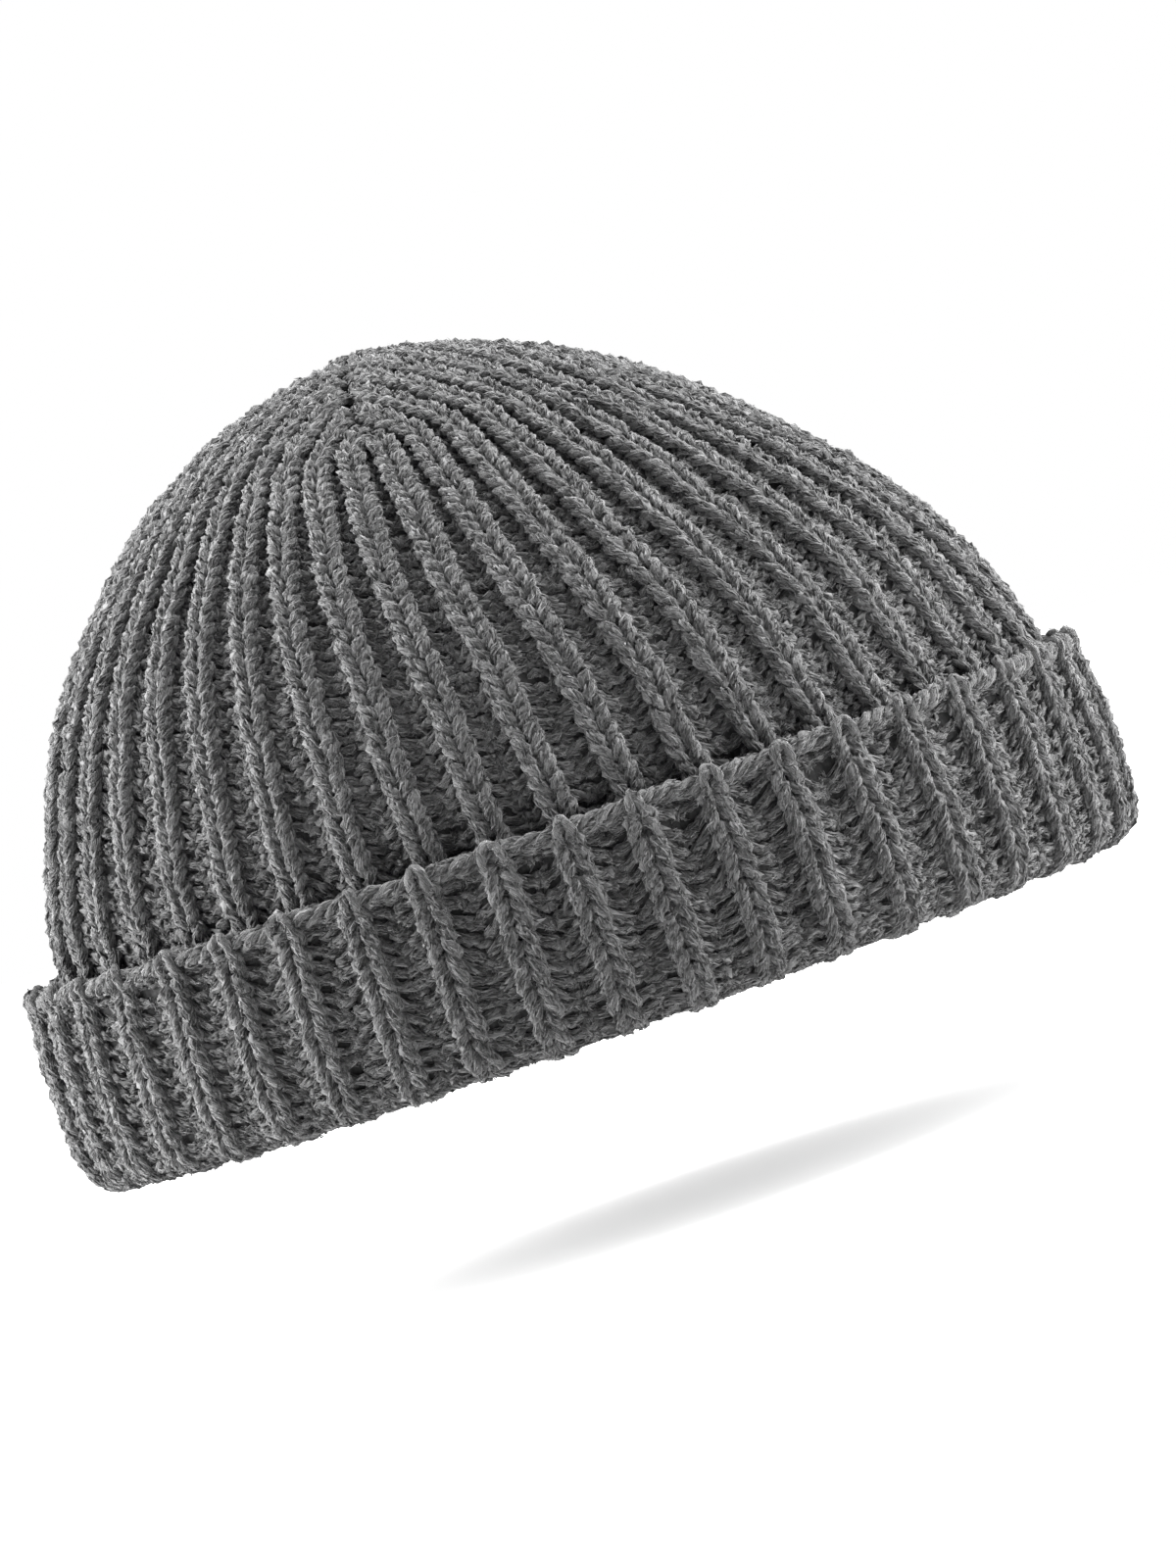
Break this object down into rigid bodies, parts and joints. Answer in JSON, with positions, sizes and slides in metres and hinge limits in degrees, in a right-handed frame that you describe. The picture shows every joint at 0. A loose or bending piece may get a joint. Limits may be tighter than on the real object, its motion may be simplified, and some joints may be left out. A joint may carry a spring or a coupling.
{
  "type": "knit beanie",
  "caption": "Short chunky rib-knit beanie in dark grey heather wool with a turned-up cuff, a corded cast-on edge and a darted, gathered crown; the cuff pulls down.",
  "frame": {"origin": "middle of the hem's box on the surface that the hat stands on", "axes": "+X towards the forehead, +Y towards the wearer's left ear, +Z towards the crown"},
  "size_m": [0.215, 0.1848, 0.1366],
  "materials": {
    "yarn": "matte heathered wool knit",
    "sewing_thread": "matte spun thread",
    "label_satin": "satin weave"
  },
  "bodies": {
    "hat_body": {"knit_body": "yarn", "crown_closure": "yarn", "dart_seam_front": "yarn", "dart_seam_left": "yarn", "dart_seam_back": "yarn", "dart_seam_right": "yarn", "back_seam": "yarn", "care_label": "label_satin", "label_stitch": "sewing_thread"},
    "cuff": {"cuff_outer": "yarn", "hem_fold": "yarn", "cast_on_edge": "yarn"}
  },
  "joints": [
    {"name": "cuff_pull_down", "type": "slide", "parent": "hat_body", "child": "cuff", "axis": [0, 0, -1], "range_m": [0, 0.03]}
  ]
}
